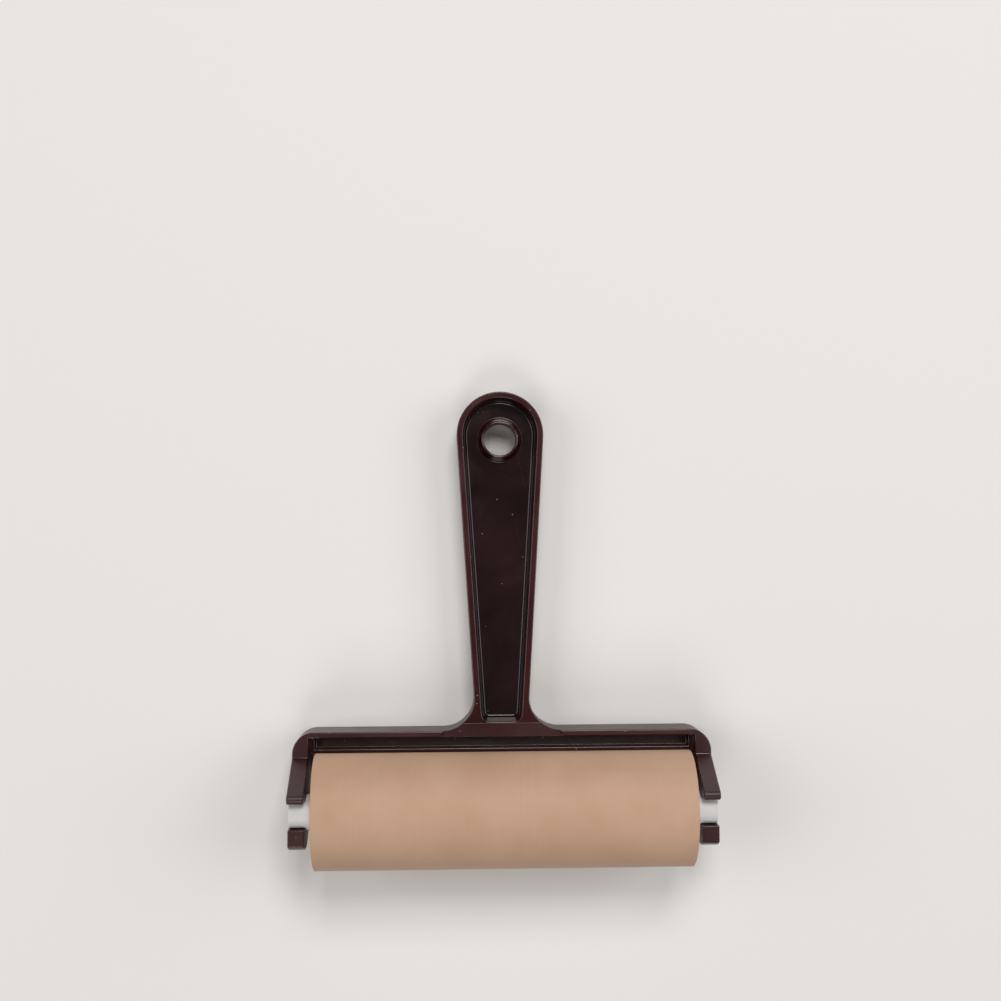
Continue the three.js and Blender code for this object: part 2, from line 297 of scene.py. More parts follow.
def makeStyrene(name, finish):
    look = styreneLook
    base, flowBase, low, high = look[finish]
    material, tree = newMaterial(name, base)
    place = addNode(tree, "ShaderNodeTexCoord").outputs["Object"]
    flow = addNode(tree, "ShaderNodeTexNoise",
                   values={"Scale": 1 / (look["flowMm"] * mm), "Detail": 3, "Distortion": 0.6},
                   links={"Vector": place}).outputs["Fac"]
    skin = addNode(tree, "ShaderNodeTexNoise", values={"Scale": 1 / (look["skinMm"] * mm), "Detail": 2},
                   links={"Vector": place}).outputs["Fac"]
    ripple = addNode(tree, "ShaderNodeTexNoise", values={"Scale": 1 / (look["rippleMm"] * mm), "Detail": 1},
                     links={"Vector": place}).outputs["Fac"]
    # hairline scratches run mostly along the handle
    along = addNode(tree, "ShaderNodeMapping", settings={"vector_type": "TEXTURE"},
                    values={"Rotation": (0, 0, look["scratchTurn"]),
                            "Scale": [length * mm for length in look["scratchMm"]]},
                    links={"Vector": place}).outputs["Vector"]
    scratch = addNode(tree, "ShaderNodeTexNoise", values={"Scale": 1, "Detail": 3, "Roughness": 0.7},
                      links={"Vector": along}).outputs["Fac"]
    scratchFrom, scratchTo = look["scratchStops"]
    scratches = setRamp(addNode(tree, "ShaderNodeValToRGB", links={"Fac": scratch}),
                        [(scratchFrom, grey(0)), (scratchTo, grey(1))]).outputs["Color"]
    flowFrom, flowTo = look["flowStops"]
    colour = setRamp(addNode(tree, "ShaderNodeValToRGB", links={"Fac": flow}),
                     [(flowFrom, hexColour(flowBase)), (flowTo, hexColour(base))]).outputs["Color"]
    # a few specks of dust sit on the surface
    grit = addNode(tree, "ShaderNodeTexVoronoi", values={"Scale": 1 / (look["dustMm"] * mm)},
                   links={"Vector": place})
    speckMiddle, speckRim = look["dustStops"]
    speck = setRamp(addNode(tree, "ShaderNodeValToRGB", links={"Fac": grit.outputs["Distance"]}),
                    [(speckMiddle, grey(1)), (speckRim, grey(0))]).outputs["Color"]
    isThere = addNode(tree, "ShaderNodeMath", settings={"operation": "GREATER_THAN"},
                      values={1: look["dustShare"]}, links={0: grit.outputs["Color"]}).outputs["Value"]
    dust = addNode(tree, "ShaderNodeMath", settings={"operation": "MULTIPLY"},
                   links={0: speck, 1: isThere}).outputs["Value"]
    dusty = addNode(tree, "ShaderNodeMix", settings={"data_type": "RGBA"},
                    values={7: hexColour(look["dustColour"])}, links={0: dust, 6: colour}).outputs[2]
    glossFrom, glossTo = look["glossStops"]
    cloudy = addNode(tree, "ShaderNodeMapRange",
                     values={"From Min": glossFrom, "From Max": glossTo, "To Min": low, "To Max": high},
                     links={"Value": flow}).outputs["Result"]
    roughness = addNode(tree, "ShaderNodeMath", settings={"operation": "MULTIPLY_ADD"},
                        values={1: look["scratchRoughness"]},
                        links={0: scratches, 2: cloudy}).outputs["Value"]
    rippled = addNode(tree, "ShaderNodeBump", values={"Strength": 1, "Distance": look["rippleDepthMm"] * mm},
                      links={"Height": ripple}).outputs["Normal"]
    skinned = addNode(tree, "ShaderNodeBump", values={"Strength": 1, "Distance": look["skinDepthMm"] * mm},
                      links={"Height": skin, "Normal": rippled}).outputs["Normal"]
    shader = addNode(tree, "ShaderNodeBsdfPrincipled", values={"IOR": look["ior"], "Specular IOR Level": 0.5},
                     links={"Base Color": dusty, "Roughness": roughness, "Normal": skinned})
    addNode(tree, "ShaderNodeOutputMaterial", links={"Surface": shader.outputs["BSDF"]})
    return material


# Soft gum rubber, ground to size on a lathe: matte tan with a warm cloudiness, fine rings left by the
# grinding wheel, drawn coarser than life so that they show, and a grain like fine sandpaper.
rubberLook = {
    "colour": "c7a389",
    "cloudColour": "c09b80",
    "cloudMm": 14,
    "cloudStops": (0.35, 0.65),
    "ringMm": 0.4,
    "ringRoundMm": 60,  # how far round the roller a ring stays the same
    "ringDepthMm": 0.007,
    "ringShade": 0.97,  # of the light between rings
    "grainMm": 0.3,
    "grainDepthMm": 0.014,
    "speckMm": 1.6,
    "speckShade": 0.8,
    "speckStops": (0.03, 0.07),  # a speck's middle and rim, as shares of its spacing
    "roughness": (0.52, 0.68),
    "ior": 1.52,
    "specular": 0.4,
}


def makeRubber():
    look = rubberLook
    material, tree = newMaterial("groundGumRubber", look["colour"])
    place = addNode(tree, "ShaderNodeTexCoord").outputs["Object"]
    cloud = addNode(tree, "ShaderNodeTexNoise", values={"Scale": 1 / (look["cloudMm"] * mm), "Detail": 4},
                    links={"Vector": place}).outputs["Fac"]
    # rings: fine along the roller, nearly constant round it
    roundScale = look["ringRoundMm"] * mm
    ringPlace = addNode(tree, "ShaderNodeMapping", settings={"vector_type": "TEXTURE"},
                        values={"Location": axis, "Scale": (look["ringMm"] * mm, roundScale, roundScale)},
                        links={"Vector": place}).outputs["Vector"]
    rings = addNode(tree, "ShaderNodeTexNoise", values={"Scale": 1, "Detail": 3, "Roughness": 0.65},
                    links={"Vector": ringPlace}).outputs["Fac"]
    grain = addNode(tree, "ShaderNodeTexNoise", values={"Scale": 1 / (look["grainMm"] * mm), "Detail": 3},
                    links={"Vector": place}).outputs["Fac"]
    specks = addNode(tree, "ShaderNodeTexVoronoi", values={"Scale": 1 / (look["speckMm"] * mm)},
                     links={"Vector": place}).outputs["Distance"]
    cloudFrom, cloudTo = look["cloudStops"]
    base = setRamp(addNode(tree, "ShaderNodeValToRGB", links={"Fac": cloud}),
                   [(cloudFrom, hexColour(look["cloudColour"])),
                    (cloudTo, hexColour(look["colour"]))]).outputs["Color"]
    ringShade = setRamp(addNode(tree, "ShaderNodeValToRGB", links={"Fac": rings}),
                        [(noiseLow, grey(look["ringShade"])), (noiseHigh, grey(1))]).outputs["Color"]
    ringed = addNode(tree, "ShaderNodeMix", settings={"data_type": "RGBA", "blend_type": "MULTIPLY"},
                     values={0: 1}, links={6: base, 7: ringShade}).outputs[2]
    speckMiddle, speckRim = look["speckStops"]
    speckShade = setRamp(addNode(tree, "ShaderNodeValToRGB", links={"Fac": specks}),
                         [(speckMiddle, grey(look["speckShade"])), (speckRim, grey(1))]).outputs["Color"]
    colour = addNode(tree, "ShaderNodeMix", settings={"data_type": "RGBA", "blend_type": "MULTIPLY"},
                     values={0: 1}, links={6: ringed, 7: speckShade}).outputs[2]
    roughness = addNode(tree, "ShaderNodeMapRange",
                        values={"From Min": noiseLow, "From Max": noiseHigh,
                                "To Min": look["roughness"][0], "To Max": look["roughness"][1]},
                        links={"Value": cloud}).outputs["Result"]
    ringBump = addNode(tree, "ShaderNodeBump", values={"Strength": 1, "Distance": look["ringDepthMm"] * mm},
                       links={"Height": rings}).outputs["Normal"]
    grained = addNode(tree, "ShaderNodeBump", values={"Strength": 1, "Distance": look["grainDepthMm"] * mm},
                      links={"Height": grain, "Normal": ringBump}).outputs["Normal"]
    shader = addNode(tree, "ShaderNodeBsdfPrincipled",
                     values={"IOR": look["ior"], "Specular IOR Level": look["specular"]},
                     links={"Base Color": colour, "Roughness": roughness, "Normal": grained})
    addNode(tree, "ShaderNodeOutputMaterial", links={"Surface": shader.outputs["BSDF"]})
    return material


# Natural nylon, moulded: milky white and satin, light sinks in a little, with faint turning marks.
nylonLook = {
    "colour": "e2e2e2",
    "shadeColour": "d6d6d6",
    "roughness": (0.36, 0.5),
    "cloudMm": 5,
    "cloudStops": (0.3, 0.65),
    "markMm": 0.3,
    "markRoundMm": 20,  # how far round a piece a mark stays the same
    "markDepthMm": 0.008,
    "ior": 1.53,
    "sunkShare": 0.12,  # of the light that sinks in
    "sunkMm": 0.8,  # and how far
}


def makeNylon():
    look = nylonLook
    material, tree = newMaterial("mouldedNylon", look["colour"])
    place = addNode(tree, "ShaderNodeTexCoord").outputs["Object"]
    cloud = addNode(tree, "ShaderNodeTexNoise", values={"Scale": 1 / (look["cloudMm"] * mm), "Detail": 3},
                    links={"Vector": place}).outputs["Fac"]
    roundScale = look["markRoundMm"] * mm
    markPlace = addNode(tree, "ShaderNodeMapping", settings={"vector_type": "TEXTURE"},
                        values={"Location": axis, "Scale": (look["markMm"] * mm, roundScale, roundScale)},
                        links={"Vector": place}).outputs["Vector"]
    marks = addNode(tree, "ShaderNodeTexNoise", values={"Scale": 1, "Detail": 2},
                    links={"Vector": markPlace}).outputs["Fac"]
    cloudFrom, cloudTo = look["cloudStops"]
    colour = setRamp(addNode(tree, "ShaderNodeValToRGB", links={"Fac": cloud}),
                     [(cloudFrom, hexColour(look["shadeColour"])),
                      (cloudTo, hexColour(look["colour"]))]).outputs["Color"]
    roughness = addNode(tree, "ShaderNodeMapRange",
                        values={"From Min": noiseLow, "From Max": noiseHigh,
                                "To Min": look["roughness"][0], "To Max": look["roughness"][1]},
                        links={"Value": cloud}).outputs["Result"]
    marked = addNode(tree, "ShaderNodeBump", values={"Strength": 1, "Distance": look["markDepthMm"] * mm},
                     links={"Height": marks}).outputs["Normal"]
    shader = addNode(tree, "ShaderNodeBsdfPrincipled",
                     values={"IOR": look["ior"], "Subsurface Weight": look["sunkShare"],
                             "Subsurface Radius": [look["sunkMm"]] * 3, "Subsurface Scale": mm},
                     links={"Base Color": colour, "Roughness": roughness, "Normal": marked})
    addNode(tree, "ShaderNodeOutputMaterial", links={"Surface": shader.outputs["BSDF"]})
    return material


# The lines that drawing leaves along a rod or a tube, and the colour that they give it.
def addDrawLines(tree, look):
    place = addNode(tree, "ShaderNodeTexCoord").outputs["Object"]
    across = look["lineMm"] * mm
    drawn = addNode(tree, "ShaderNodeMapping", settings={"vector_type": "TEXTURE"},
                    values={"Scale": (look["lineLengthMm"] * mm, across, across)},
                    links={"Vector": place}).outputs["Vector"]
    lines = addNode(tree, "ShaderNodeTexNoise", values={"Scale": 1, "Detail": 3},
                    links={"Vector": drawn}).outputs["Fac"]
    lineFrom, lineTo = look["lineStops"]
    colour = setRamp(addNode(tree, "ShaderNodeValToRGB", links={"Fac": lines}),
                     [(lineFrom, hexColour(look["lineColour"])),
                      (lineTo, hexColour(look["colour"]))]).outputs["Color"]
    bump = addNode(tree, "ShaderNodeBump", values={"Strength": 1, "Distance": look["lineDepthMm"] * mm},
                   links={"Height": lines}).outputs["Normal"]
    return lines, colour, bump


# Rigid extruded PVC, off-white and matte, with draw lines along the tube.
tubeLook = {
    "colour": "bdbab3",
    "lineColour": "aaa79f",
    "lineMm": 0.5,
    "lineLengthMm": 40,
    "lineDepthMm": 0.01,
    "lineStops": (0.35, 0.6),
    "roughness": 0.55,
    "ior": 1.53,
}


def makeTubePlastic():
    look = tubeLook
    material, tree = newMaterial("extrudedPvc", look["colour"])
    lines, colour, bump = addDrawLines(tree, look)
    shader = addNode(tree, "ShaderNodeBsdfPrincipled",
                     values={"IOR": look["ior"], "Roughness": look["roughness"]},
                     links={"Base Color": colour, "Normal": bump})
    addNode(tree, "ShaderNodeOutputMaterial", links={"Surface": shader.outputs["BSDF"]})
    return material


# Mild steel rod, cold drawn and zinc plated: bright but not mirror-like, with draw lines along it.
steelLook = {
    "colour": "b6b8ba",
    "lineColour": "a4a7ab",
    "lineMm": 0.25,
    "lineLengthMm": 25,
    "lineDepthMm": 0.004,
    "lineStops": (0.35, 0.65),
    "roughness": (0.24, 0.4),
}


def makeSteel():
    look = steelLook
    material, tree = newMaterial("zincPlatedSteel", look["colour"])
    lines, colour, bump = addDrawLines(tree, look)
    roughness = addNode(tree, "ShaderNodeMapRange",
                        values={"From Min": noiseLow, "From Max": noiseHigh,
                                "To Min": look["roughness"][0], "To Max": look["roughness"][1]},
                        links={"Value": lines}).outputs["Result"]
    shader = addNode(tree, "ShaderNodeBsdfPrincipled", values={"Metallic": 1},
                     links={"Base Color": colour, "Roughness": roughness, "Normal": bump})
    addNode(tree, "ShaderNodeOutputMaterial", links={"Surface": shader.outputs["BSDF"]})
    return material


# the three finishes differ in colour as painted light and shade: painted shade on the gloss, painted
# highlight on the edge, painted light on the satin
finishNames = {"gloss": "shadedGlossStyrene", "edge": "highlitEdgeStyrene", "satin": "litSatinStyrene"}
styreneLitAndShadedFinishes = [makeStyrene(name, finish) for finish, name in finishNames.items()]
finishIndex = {finish: index for index, finish in enumerate(finishNames)}
rubber = makeRubber()
nylon = makeNylon()
tubePlastic = makeTubePlastic()
steel = makeSteel()
print("materials ready")


# Millimetres; heights and places are from the middle of the roller.
frameSizes = {
    "armThickness": 4.5,
    "armEndRadius": 9.9,
    "slotHalf": 3.65,
    "slotLean": 5,  # degrees from upright, towards the roller's lower side
    "lowerJawFront": 5,
    "upperJawRadius": 1.3,
    "upperJawZ": 6.6,
    "upperJawSlope": 28.9,  # degrees, where its front edge meets the round tip
    "upperJawFoot": 13.4,
    "heelStart": 4.5,
    "barTop": 20.4,
    "barBottom": 14.2,
    "barFront": -7,
    "cornerRadius": 6,
    "lowerFlangeFront": -9,
    "lowerFlangeTop": 15.6,
    "barRim": 1.65,
    "barPocketFloor": -12,
    "handleFront": -10,
    "buttRadius": 12.1,
    "sideTaper": 0.061,
    "neckRadius": 8.6,
    "rampTop": 22.15,
    "rampIn": 0.3,  # half width of the ramp less that of the neck, at the top of the crossbar
    "rampOut": 0.9,  # and more than the neck's at its foot
    "rim": 1.7,
    "recessFoot": 22.6,
    "recessDepth": 6,
    "recessDraft": 0.8,
    "recessFillet": 0.5,
    "floorCorner": 0.9,  # the round in each corner of a hollow's floor
    "backDepth": 2.5,
    "backDraft": 0.5,
    "holeCentre": 101.1,
    "holeRadius": 4.5,
    "bossBase": 6.4,
    "bossTip": 5.15,
    "bossHeight": 3.5,
    "heelFillet": 1.2,  # in the corner between each arm and the crossbar
    "edge": 0.32,
    "crispBelow": 44,  # degrees: a shallower edge, as at the ends of the ramp, stays crisp
    "holeReach": 30,  # of the drill, up and down from the roller's axis
    "floorSegments": 4,
    "roundSteps": 72,
}

sideAngle = math.atan(frameSizes["sideTaper"])
buttCentre = buttY - frameSizes["buttRadius"]
armInner = halfWidth - frameSizes["armThickness"]
neckWidening = frameSizes["sideTaper"] * (frameSizes["barTop"] + frameSizes["neckRadius"] - buttCentre)
neckX = (frameSizes["buttRadius"] + frameSizes["neckRadius"]) / math.cos(sideAngle) + neckWidening


# Half the handle's width at y, set in by inset.
def sideAt(y, inset):
    s = frameSizes
    return (s["buttRadius"] - inset) / math.cos(sideAngle) + s["sideTaper"] * (y - buttCentre)


# A point in the plane of an arm, given across its slot and out of it.
def inSlot(x, across, out):
    lean = math.radians(frameSizes["slotLean"])
    return (x, across * math.cos(lean) - out * math.sin(lean), across * math.sin(lean) + out * math.cos(lean))


# The point at height z on a line that runs out of the slot.
def alongSlot(x, across, z):
    lean = math.radians(frameSizes["slotLean"])
    return inSlot(x, across, (z - across * math.sin(lean)) / math.cos(lean))


# The frame seen from the front: both arms, the crossbar and the handle, deeper than the frame is.
def drawPlan():
    s = frameSizes
    lean = math.degrees(sideAngle)
    low = backZ - 2 * past
    ends = -rollerRadius
    cornerX = halfWidth - s["cornerRadius"]
    cornerY = s["barTop"] - s["cornerRadius"]
    heelX = armInner - s["heelFillet"]
    heelY = s["barBottom"] - s["heelFillet"]
    neckY = s["barTop"] + s["neckRadius"]
    cosine, sine = math.cos(sideAngle), math.sin(sideAngle)
    buttSide = (s["buttRadius"] * cosine, buttCentre - s["buttRadius"] * sine, low)
    leftFlare = (-neckX + s["neckRadius"] * cosine, neckY + s["neckRadius"] * sine, low)
    plan = drawLine("brayerFrame", (-halfWidth, ends, low), [
        (-armInner, ends, low),
        (-armInner, heelY, low),
        ((-heelX, heelY, low), -90),
        (heelX, s["barBottom"], low),
        ((heelX, heelY, low), -90),
        (armInner, ends, low),
        (halfWidth, ends, low),
        (halfWidth, cornerY, low),
        ((cornerX, cornerY, low), 90),
        (neckX, s["barTop"], low),
        ((neckX, neckY, low), -(90 + lean)),
        buttSide,
        ((0, buttCentre, low), 180 + 2 * lean),
        leftFlare,
        ((-neckX, neckY, low), -(90 + lean)),
        (-cornerX, s["barTop"], low),
        ((-cornerX, cornerY, low), 90),
        (-halfWidth, ends, low),
    ], upwards)
    pullOut(z=rollerRadius - low)
    return closeUp(plan)


# The frame seen from the end, wider than the frame is: the arm's slot and jaws, the heel, and the thickness
# of the crossbar carried on past the butt.
def drawSide():
    s = frameSizes
    x = -halfWidth - 2 * past
    heelReach = math.hypot(s["heelStart"], backZ)
    tangent = math.atan2(backZ, s["heelStart"]) - math.acos(s["armEndRadius"] / heelReach)
    jawAngle = math.pi - math.asin(s["lowerJawFront"] / s["armEndRadius"])
    roundEnd = math.degrees(2 * math.pi + tangent - jawAngle)
    tip = alongSlot(x, s["slotHalf"] + s["upperJawRadius"], s["upperJawZ"])
    slope = math.radians(s["upperJawSlope"])
    tipStart = (x, tip[1] + s["upperJawRadius"] * math.cos(slope),
                tip[2] + s["upperJawRadius"] * math.sin(slope))
    endStart = (x, s["armEndRadius"] * math.cos(jawAngle), s["armEndRadius"] * math.sin(jawAngle))
    end = buttY + 5 * past
    side = drawLine("side", (x, s["heelStart"], backZ), [
        (x, end, backZ),
        (x, end, s["barFront"]),
        (x, s["upperJawFoot"], s["barFront"]),
        tipStart,
        (tip, 180 + s["slotLean"] - s["upperJawSlope"]),
        inSlot(x, s["slotHalf"], 0),
        ((x, 0, 0), -180),
        alongSlot(x, -s["slotHalf"], s["lowerJawFront"]),
        endStart,
        ((x, 0, 0), roundEnd),
        (x, s["heelStart"], backZ),
    ], alongRoller)
    pullOut(x=-2 * x)
    return closeUp(side)


# The planed front from above: the ends of the ramp splay as it comes down to the crossbar.
def drawRampPlan(foot):
    s = frameSizes
    low = s["handleFront"] - past
    splay = (s["rampIn"] + s["rampOut"]) / s["barRim"]
    # the splayed ends run on along the same lines, below the foot and above the crossbar
    below = foot - past
    above = s["barTop"] + 3 * past
    end = buttY + 6 * past
    wide = neckX + s["rampOut"] + past * splay
    narrow = neckX - s["rampIn"] - 3 * past * splay
    plan = drawLine("rampPlan", (-wide, below, low), [
        (wide, below, low),
        (narrow, above, low),
        (narrow, end, low),
        (-narrow, end, low),
        (-narrow, above, low),
        (-wide, below, low),
    ], upwards)
    pullOut(z=rollerRadius + past - low)
    return closeUp(plan)


# A hollow of the handle as a solid to cut with: down into the front, or up into the back.
def drawHollow(name, faceZ, depth, draft, fillet):
    s = frameSizes
    inwards = -1 if depth > 0 else 1
    start = faceZ - inwards * 2 * past
    lean = math.degrees(sideAngle)
    foot = sideAt(s["recessFoot"], s["rim"])
    radius = s["buttRadius"] - s["rim"]
    buttSide = (radius * math.cos(sideAngle), buttCentre - radius * math.sin(sideAngle), start)
    corner = draft + fillet + s["floorCorner"]
    hollow = drawLine(name, (-foot + corner, s["recessFoot"], start), [
        (foot - corner, s["recessFoot"], start),
        ((foot - corner, s["recessFoot"] + corner, start), 90),
        buttSide,
        ((0, buttCentre, start), 180 + 2 * lean),
        (-foot, s["recessFoot"] + corner, start),
        ((-foot + corner, s["recessFoot"] + corner, start), 90),
    ], upwards)
    pullOut(z=inwards * 2 * past)
    # drafted walls down to the floor, with a fillet round it
    bpy.ops.mesh.inset(thickness=draft * mm, depth=0, use_even_offset=True)
    bpy.ops.transform.translate(value=(0, 0, -depth * mm))
    bpy.ops.mesh.bevel(offset=fillet * mm, segments=s["floorSegments"], affect="EDGES")
    return closeUp(hollow)


def makeFrame():
    s = frameSizes
    body = drawPlan()
    combine(body, drawSide(), "INTERSECT")
    print("frame: plan and side crossed")

    # one cut planes the front of the handle and the ramp down to the crossbar's face
    rampFoot = s["barTop"] - s["barRim"]
    cutX = neckX + 5 * past
    end = buttY + 5 * past
    plane = drawLine("plane", (-cutX, rampFoot, s["barFront"]), [
        (-cutX, s["rampTop"], s["handleFront"]),
        (-cutX, end, s["handleFront"]),
        (-cutX, end, rollerRadius),
        (-cutX, rampFoot, rollerRadius),
        (-cutX, rampFoot, s["barFront"]),
    ], alongRoller)
    pullOut(x=2 * cutX)
    closeUp(plane)
    combine(plane, drawRampPlan(rampFoot), "INTERSECT")
    combine(body, plane, "DIFFERENCE")

    # the long pocket behind the roller, its lower flange set back
    below = s["barBottom"] - s["heelFillet"] - past
    combine(body, makeBlock("setBack", (-armInner, below, s["lowerFlangeFront"]),
                            (armInner, rampFoot, rollerRadius)), "DIFFERENCE")
    pocketEnd = armInner - s["barRim"]
    combine(body, makeBlock("pocket", (-pocketEnd, s["lowerFlangeTop"], s["barPocketFloor"]),
                            (pocketEnd, rampFoot, s["lowerFlangeFront"] + past)), "DIFFERENCE")

    combine(body, drawHollow("frontHollow", s["handleFront"], s["recessDepth"], s["recessDraft"],
                             s["recessFillet"]), "DIFFERENCE")
    combine(body, drawHollow("backHollow", backZ, -s["backDepth"], s["backDraft"],
                             s["recessFillet"]), "DIFFERENCE")
    print("frame: hollows cut")

    # the hang hole in its low tapered boss
    floorZ = s["handleFront"] - s["recessDepth"]
    deselectAll()
    bpy.ops.mesh.primitive_cone_add(vertices=s["roundSteps"], radius1=s["bossBase"] * mm,
                                    radius2=s["bossTip"] * mm, depth=(s["bossHeight"] + past) * mm,
                                    location=at(0, s["holeCentre"], floorZ + (s["bossHeight"] - past) / 2))
    boss = bpy.context.object
    bpy.ops.object.transform_apply(location=True)
    combine(body, boss, "UNION")
    reach = s["holeReach"]
    combine(body, makeRound("hole", s["holeRadius"], (0, s["holeCentre"], -reach),
                            (0, s["holeCentre"], reach), s["roundSteps"]), "DIFFERENCE")

    takeOnly(body)
    bpy.ops.object.mode_set(mode="EDIT")
    mergeClose(weld["frame"])
    closeUp(body)
    layFinishesAndPaintedLight(body)
    # the rounded edges take the edge finish, whose lighter colour is a painted highlight
    roundEdges(body, s["edge"], angle=s["crispBelow"], material=finishIndex["edge"])
    return body


# Which faces take which finish, and so which painted light or shade, by the upward part of their normal.
finishLimits = {
    "flat": 0.99,  # more than this is flat
    "facing": 0.3,  # more than this faces the front
    "upright": 0.01,  # less than this stands upright
    "near": 0.1,  # millimetres from a height that still count as at it
}


# The rim takes the edge finish, lighter as a painted highlight; the ramp, the fronts of the arms and
# crossbar, save the lower flange, and all that stands upright are satin, lighter as painted light; the rest
# is glossy, darkest as painted shade.
def layFinishesAndPaintedLight(body):
    f = finishLimits
    body.data.materials.clear()
    for finish in styreneLitAndShadedFinishes:
        body.data.materials.append(finish)
    rimZ = axis.z + frameSizes["handleFront"] * mm
    flangeZ = axis.z + frameSizes["lowerFlangeFront"] * mm
    near = f["near"] * mm
    for face in body.data.polygons:
        up, height = face.normal.z, face.center.z
        isFlat = up > f["flat"]
        isRim = isFlat and abs(height - rimZ) < near
        isFlange = isFlat and abs(height - flangeZ) < near
        isFront = up > f["facing"] and height > rimZ and not isFlange
        # rim: painted highlight; fronts and upright faces: painted light; the rest keeps the gloss's painted
        # shade
        if isRim:
            face.material_index = finishIndex["edge"]
        elif isFront or abs(up) < f["upright"]:
            face.material_index = finishIndex["satin"]


# Round marks left by ejector pins: (x, y, radius) on a face at z, a hair deep.
pinMarks = {
    "depth": 0.2,
    "frontFloor": [(0, 87.8, 4.7)],
    "backFloor": [(0, 86, 3), (0, 60, 3), (0, 34, 2.6)],
    "backBar": [(-40, 17.3, 2), (40, 17.3, 2)],
    "steps": 64,
}


def markPins(body):
    s = frameSizes
    deep = pinMarks["depth"]
    frontFloor = s["handleFront"] - s["recessDepth"]
    backFloor = backZ + s["backDepth"]
    rows = [(mark, frontFloor - deep, frontFloor + past) for mark in pinMarks["frontFloor"]]
    rows += [(mark, backFloor - past, backFloor + deep) for mark in pinMarks["backFloor"]]
    rows += [(mark, backZ - past, backZ + deep) for mark in pinMarks["backBar"]]
    for (x, y, radius), low, high in rows:
        combine(body, makeRound("pin", radius, (x, y, low), (x, y, high), pinMarks["steps"]), "DIFFERENCE")


brayerFrame = makeFrame()
markPins(brayerFrame)
smoothOff(brayerFrame)
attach(brayerFrame, "frame")
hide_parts("frame")
print("frame done:", len(brayerFrame.data.polygons), "faces")


rollerSizes = {
    "rubber": 5.6,
    "sleeveEdge": 0.3,
    "sleeveBand": 8,  # the first band of faces at each end of the sleeve
    "sleeveSteps": 144,
    "tubeWall": 2,
    "tubeInset": 1.2,
    "tubeEdge": 0.3,
    "gap": 0.15,  # between the rubber and the tube
    "turnSteps": 96,
}
boreRadius = rollerRadius - rollerSizes["rubber"]
tubeRadius = boreRadius - rollerSizes["gap"]
tubeEnd = rollerHalf - rollerSizes["tubeInset"]


def makeSleeve():
    edge = rollerSizes["sleeveEdge"]
    band = rollerHalf - rollerSizes["sleeveBand"]
    sleeve = turnPiece("rubberSleeve", (-rollerHalf, boreRadius, 0), [
        (-rollerHalf, rollerRadius - edge, 0),
        ((-rollerHalf + edge, rollerRadius - edge, 0), -90),
        (-band, rollerRadius, 0),
        (-rollerHalf / 2, rollerRadius, 0),
        (0, rollerRadius, 0),
        (rollerHalf / 2, rollerRadius, 0),
        (band, rollerRadius, 0),
        (rollerHalf - edge, rollerRadius, 0),
        ((rollerHalf - edge, rollerRadius - edge, 0), -90),
        (rollerHalf, boreRadius, 0),
        (-rollerHalf, boreRadius, 0),
    ], rollerSizes["sleeveSteps"])
    sleeve.data.materials.append(rubber)
    return sleeve


def makeTube():
    outer = tubeRadius
    inner = outer - rollerSizes["tubeWall"]
    edge = rollerSizes["tubeEdge"]
    tube = turnPiece("coreTube", (-tubeEnd, inner, 0), [
        (-tubeEnd, outer - edge, 0),
        (-tubeEnd + edge, outer, 0),
        (tubeEnd - edge, outer, 0),
        (tubeEnd, outer - edge, 0),
        (tubeEnd, inner, 0),
        (-tubeEnd, inner, 0),
    ], rollerSizes["turnSteps"])
    tube.data.materials.append(tubePlastic)
    return tube


hubSizes = {
    "plug": 11,  # its length in the tube
    "plugGap": 0.1,  # between it and the tube
    "leadIn": (2, 0.6),  # the taper at the plug's end: its length and depth
    "bore": 2.55,
    "edge": 0.2,
    "flangeGap": 0.2,  # from the tube's end, and from the sleeve
    "flangeInset": 0.05,  # from the roller's end
    "groove": (5.4, 8.1, 0.55),  # inner and outer radius and depth, in the flange's outer face
    "grooveDraft": 0.15,
    "ribs": 6,
    "ribHalf": 0.5,
    "ribSunk": 0.2,  # into the groove's floor
    "ribReach": 0.3,  # into its walls
    "ribInset": 0.12,  # from the flange's outer face
}


# A hub for the right end: flange with a ring groove and ribs, plug with a lead-in, and its bore.
def makeHub():
    h = hubSizes
    edge = h["edge"]
    flangeIn = tubeEnd + h["flangeGap"]
    flangeOut = rollerHalf - h["flangeInset"]
    flangeRadius = boreRadius - h["flangeGap"]
    plugEnd = flangeIn - h["plug"]
    plugRadius = tubeRadius - rollerSizes["tubeWall"] - h["plugGap"]
    leadLength, leadDepth = h["leadIn"]
    grooveIn, grooveOut, grooveDeep = h["groove"]
    grooveFloor = flangeOut - grooveDeep
    hub = turnPiece("rightHub", (plugEnd, h["bore"], 0), [
        (plugEnd, plugRadius - leadDepth, 0),
        (plugEnd + leadLength, plugRadius, 0),
        (flangeIn, plugRadius, 0),
        (flangeIn, flangeRadius, 0),
        (flangeOut - edge, flangeRadius, 0),
        ((flangeOut - edge, flangeRadius - edge, 0), -90),
        (flangeOut, grooveOut, 0),
        (grooveFloor, grooveOut - h["grooveDraft"], 0),
        (grooveFloor, grooveIn + h["grooveDraft"], 0),
        (flangeOut, grooveIn, 0),
        (flangeOut, h["bore"] + edge, 0),
        (flangeOut - edge, h["bore"], 0),
        (plugEnd, h["bore"], 0),
    ], rollerSizes["turnSteps"])
    # ribs across the groove
    for turn in range(h["ribs"]):
        rib = makeBlock("rib", (grooveFloor - h["ribSunk"], grooveIn - h["ribReach"], -h["ribHalf"]),
                        (flangeOut - h["ribInset"], grooveOut + h["ribReach"], h["ribHalf"]))
        turnAbout(rib, turn * 2 * math.pi / h["ribs"], "X")
        combine(hub, rib, "UNION")
    hub.data.materials.append(nylon)
    return hub


